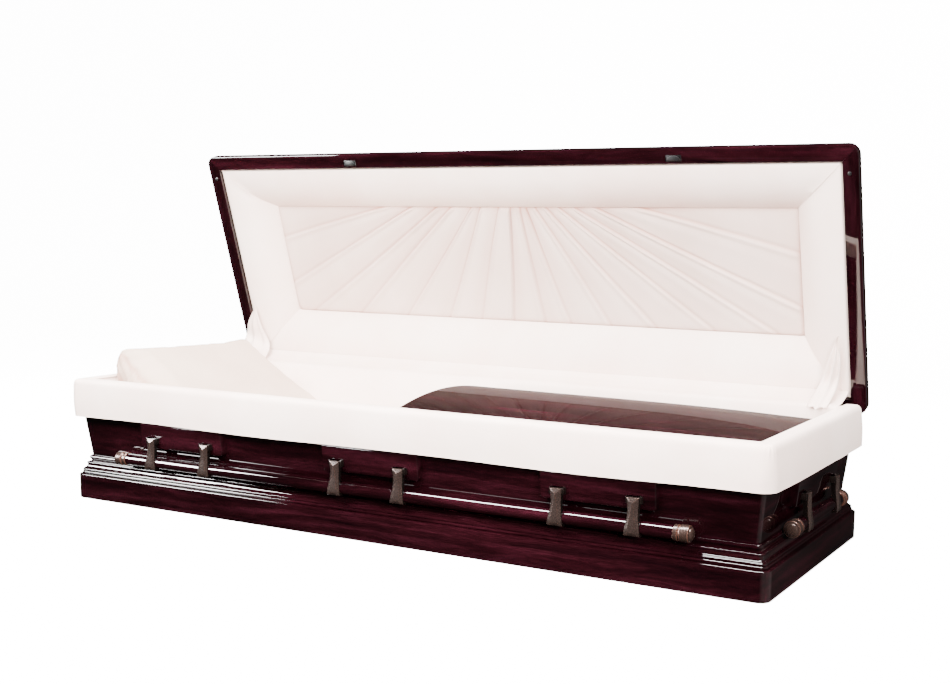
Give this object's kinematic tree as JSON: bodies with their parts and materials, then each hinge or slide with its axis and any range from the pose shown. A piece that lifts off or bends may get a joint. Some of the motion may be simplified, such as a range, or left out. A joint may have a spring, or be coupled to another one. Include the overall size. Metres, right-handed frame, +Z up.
{
  "type": "funeral casket",
  "caption": "Full-couch casket in glossy dark mahogany: flared shell on a moulded base, padded white lining, hinged lid standing open, swing bar handles.",
  "frame": {"origin": "centre of the underside of the base, where it rests on the floor", "axes": "+X toward the foot end, -Y toward the front (the open side), +Y toward the hinges, +Z up"},
  "size_m": [2.1716, 0.9217, 1.0254],
  "materials": {
    "mahogany": "dark red-brown mahogany under a mirror-gloss lacquer",
    "bottom_wood": "plain unlacquered board",
    "bronze": "antique bronze plating, brown with coppery worn edges",
    "hinge_steel": "plain satin steel",
    "catch_black": "matt black",
    "crepe": "warm white matt crepe over soft padding",
    "ticking": "off-white plain cotton ticking"
  },
  "bodies": {
    "shell": {"bottom_board": "bottom_wood", "base_front": "mahogany", "base_back": "mahogany", "base_head": "mahogany", "base_foot": "mahogany", "wall_front": "mahogany", "wall_back": "mahogany", "wall_head": "mahogany", "wall_foot": "mahogany", "plaque_front_1": "mahogany", "plaque_front_2": "mahogany", "plaque_front_3": "mahogany", "plaque_foot_1": "mahogany", "hinge_leaf_1": "hinge_steel", "hinge_leaf_2": "hinge_steel", "mattress": "ticking", "pillow": "crepe", "foot_panel": "mahogany", "overlay_cloth": "crepe", "shell_lining": "crepe"},
    "lid": {"lid_rail_front": "mahogany", "lid_rail_back": "mahogany", "lid_rail_head": "mahogany", "lid_rail_foot": "mahogany", "lid_crown": "mahogany", "hinge_strap_1": "hinge_steel", "hinge_strap_2": "hinge_steel", "catch_1": "catch_black", "catch_2": "catch_black", "lid_roll": "crepe", "sunburst_panel": "crepe"},
    "handle_front": {"bar_front": "mahogany", "arm_front_1": "bronze", "arm_front_2": "bronze", "arm_front_3": "bronze", "arm_front_4": "bronze", "arm_front_5": "bronze", "arm_front_6": "bronze", "cap_front_1": "bronze", "cap_front_2": "bronze"},
    "handle_back": {"bar_back": "mahogany", "arm_back_1": "bronze", "arm_back_2": "bronze", "arm_back_3": "bronze", "arm_back_4": "bronze", "arm_back_5": "bronze", "arm_back_6": "bronze", "cap_back_1": "bronze", "cap_back_2": "bronze"},
    "handle_head": {"bar_head": "mahogany", "arm_head_1": "bronze", "arm_head_2": "bronze", "cap_head_1": "bronze", "cap_head_2": "bronze"},
    "handle_foot": {"bar_foot": "mahogany", "arm_foot_1": "bronze", "arm_foot_2": "bronze", "cap_foot_1": "bronze", "cap_foot_2": "bronze"}
  },
  "joints": [
    {"name": "lid_hinge", "type": "hinge", "parent": "shell", "child": "lid", "pos_m": [0, 0.374, 0.29], "axis": [1, 0, 0], "range_deg": [0, 73.25], "deforming": ["pillow"]},
    {"name": "handle_front_swing", "type": "hinge", "parent": "shell", "child": "handle_front", "pos_m": [0, -0.37478, 0.1995], "axis": [-1, 0, 0], "range_deg": [0, 85]},
    {"name": "handle_back_swing", "type": "hinge", "parent": "shell", "child": "handle_back", "pos_m": [0, 0.37478, 0.1995], "axis": [1, 0, 0], "range_deg": [0, 85]},
    {"name": "handle_foot_swing", "type": "hinge", "parent": "shell", "child": "handle_foot", "pos_m": [1.06978, 0, 0.1995], "axis": [0, -1, 0], "range_deg": [0, 85]},
    {"name": "handle_head_swing", "type": "hinge", "parent": "shell", "child": "handle_head", "pos_m": [-1.06978, 0, 0.1995], "axis": [0, 1, 0], "range_deg": [0, 85]}
  ]
}
